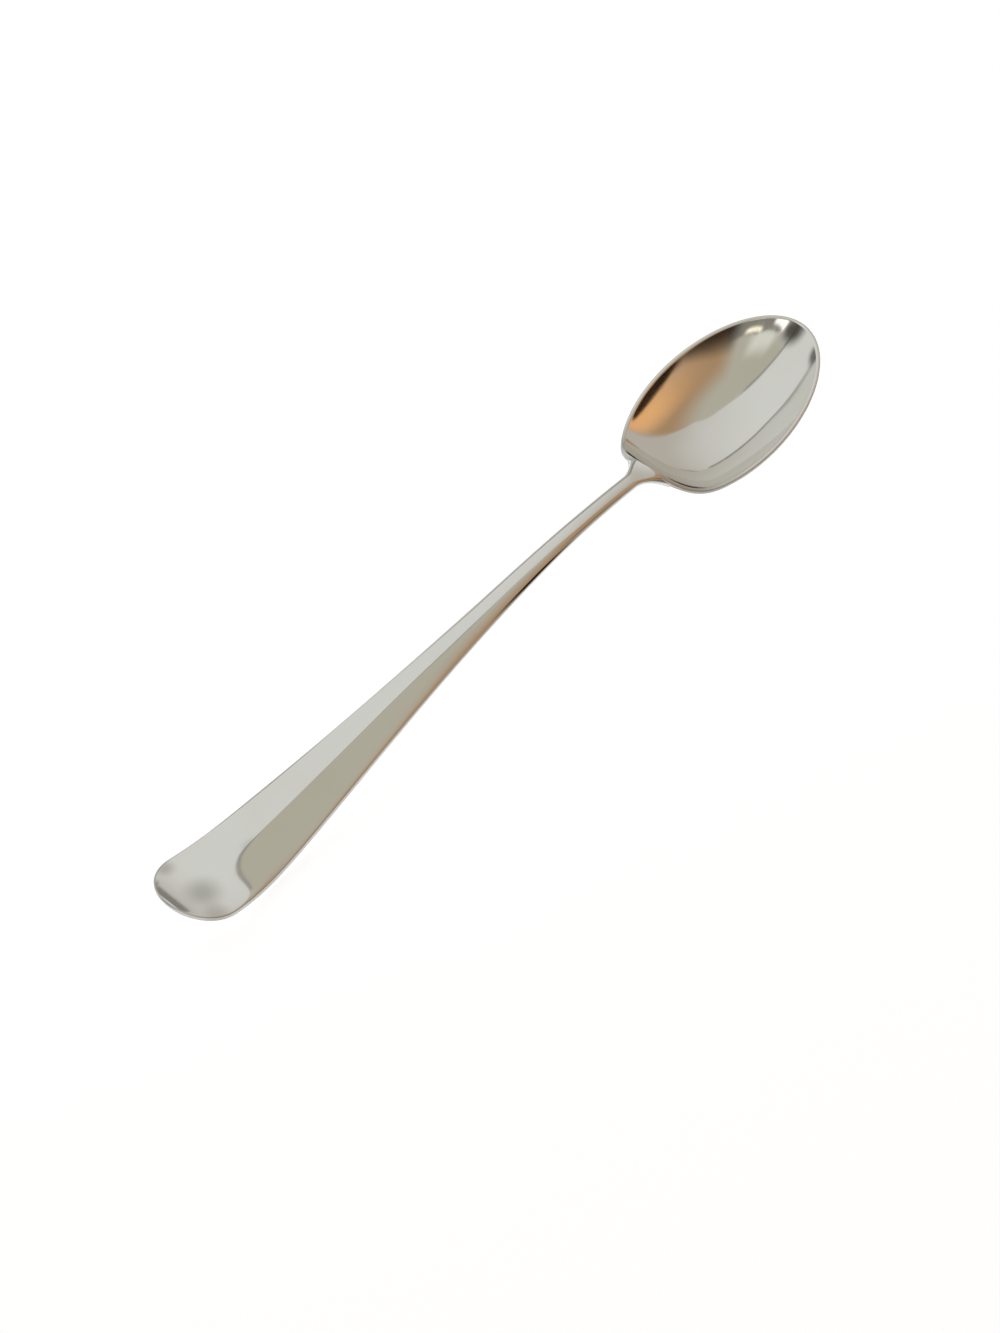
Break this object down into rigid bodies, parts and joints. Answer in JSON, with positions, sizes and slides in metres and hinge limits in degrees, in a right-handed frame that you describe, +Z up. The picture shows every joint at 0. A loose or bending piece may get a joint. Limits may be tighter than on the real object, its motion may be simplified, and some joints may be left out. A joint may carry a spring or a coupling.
{
  "type": "serving spoon",
  "caption": "Plain polished serving spoon with an oval bowl, a narrow arched stem and a mid-ribbed handle whose round end turns up.",
  "frame": {"origin": "middle of the underside of the bounding box, on the table the spoon lies on", "axes": "+X from the handle to the tip of the bowl, +Y to the left when looking along +X, +Z up"},
  "size_m": [0.25, 0.0432, 0.0197],
  "materials": {
    "bowl_silver": "polished silver with fine wear",
    "stem_silver": "polished silver with fine wear",
    "hard_solder": "filed and polished silver solder"
  },
  "bodies": {
    "root": {"bowl": "bowl_silver", "stem": "stem_silver", "solder_seam": "hard_solder"}
  },
  "joints": []
}
